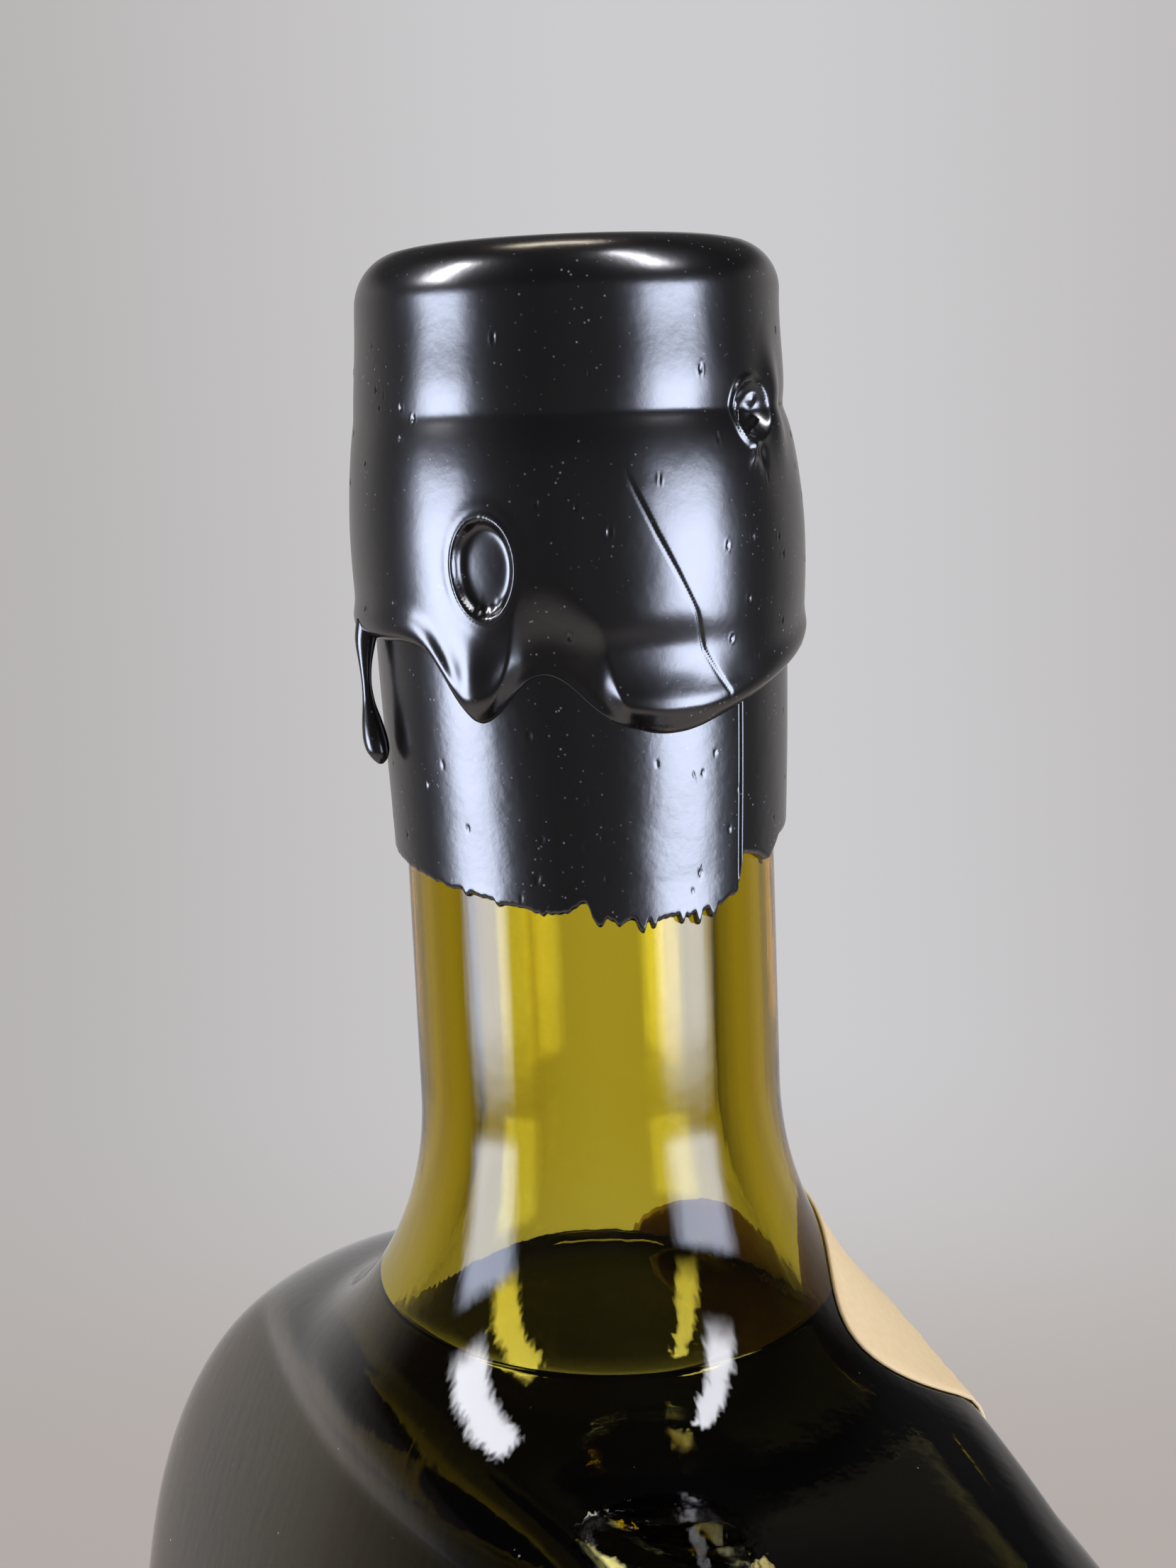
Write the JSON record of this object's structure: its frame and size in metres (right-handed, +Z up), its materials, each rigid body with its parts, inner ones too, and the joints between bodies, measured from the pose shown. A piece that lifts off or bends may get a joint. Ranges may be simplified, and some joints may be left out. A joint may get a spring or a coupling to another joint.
{
  "type": "spirit bottle",
  "caption": "Flat-sided olive glass spirit bottle with a round neck, brown spirit up to the foot of the neck, dripping black wax seal and a plain cream shoulder label",
  "frame": {"origin": "middle of the foot, on the plane the bottle stands on", "axes": "+Z up along the neck, +X along the wide front, -Y out of the labelled wide face"},
  "size_m": [0.1508, 0.0734, 0.2262],
  "materials": {
    "olive_glass": "smooth clear olive glass",
    "brown_spirit": "clear dark brown spirit",
    "black_wax_gloss": "glossy black sealing wax",
    "black_wax_satin": "satin black sealing wax",
    "cream_paper": "uncoated cream paper"
  },
  "bodies": {
    "root": {"glass_bottle": "olive_glass", "spirit_fill": "brown_spirit", "wax_second_coat": "black_wax_gloss", "wax_first_coat": "black_wax_satin", "shoulder_label": "cream_paper"}
  },
  "joints": []
}
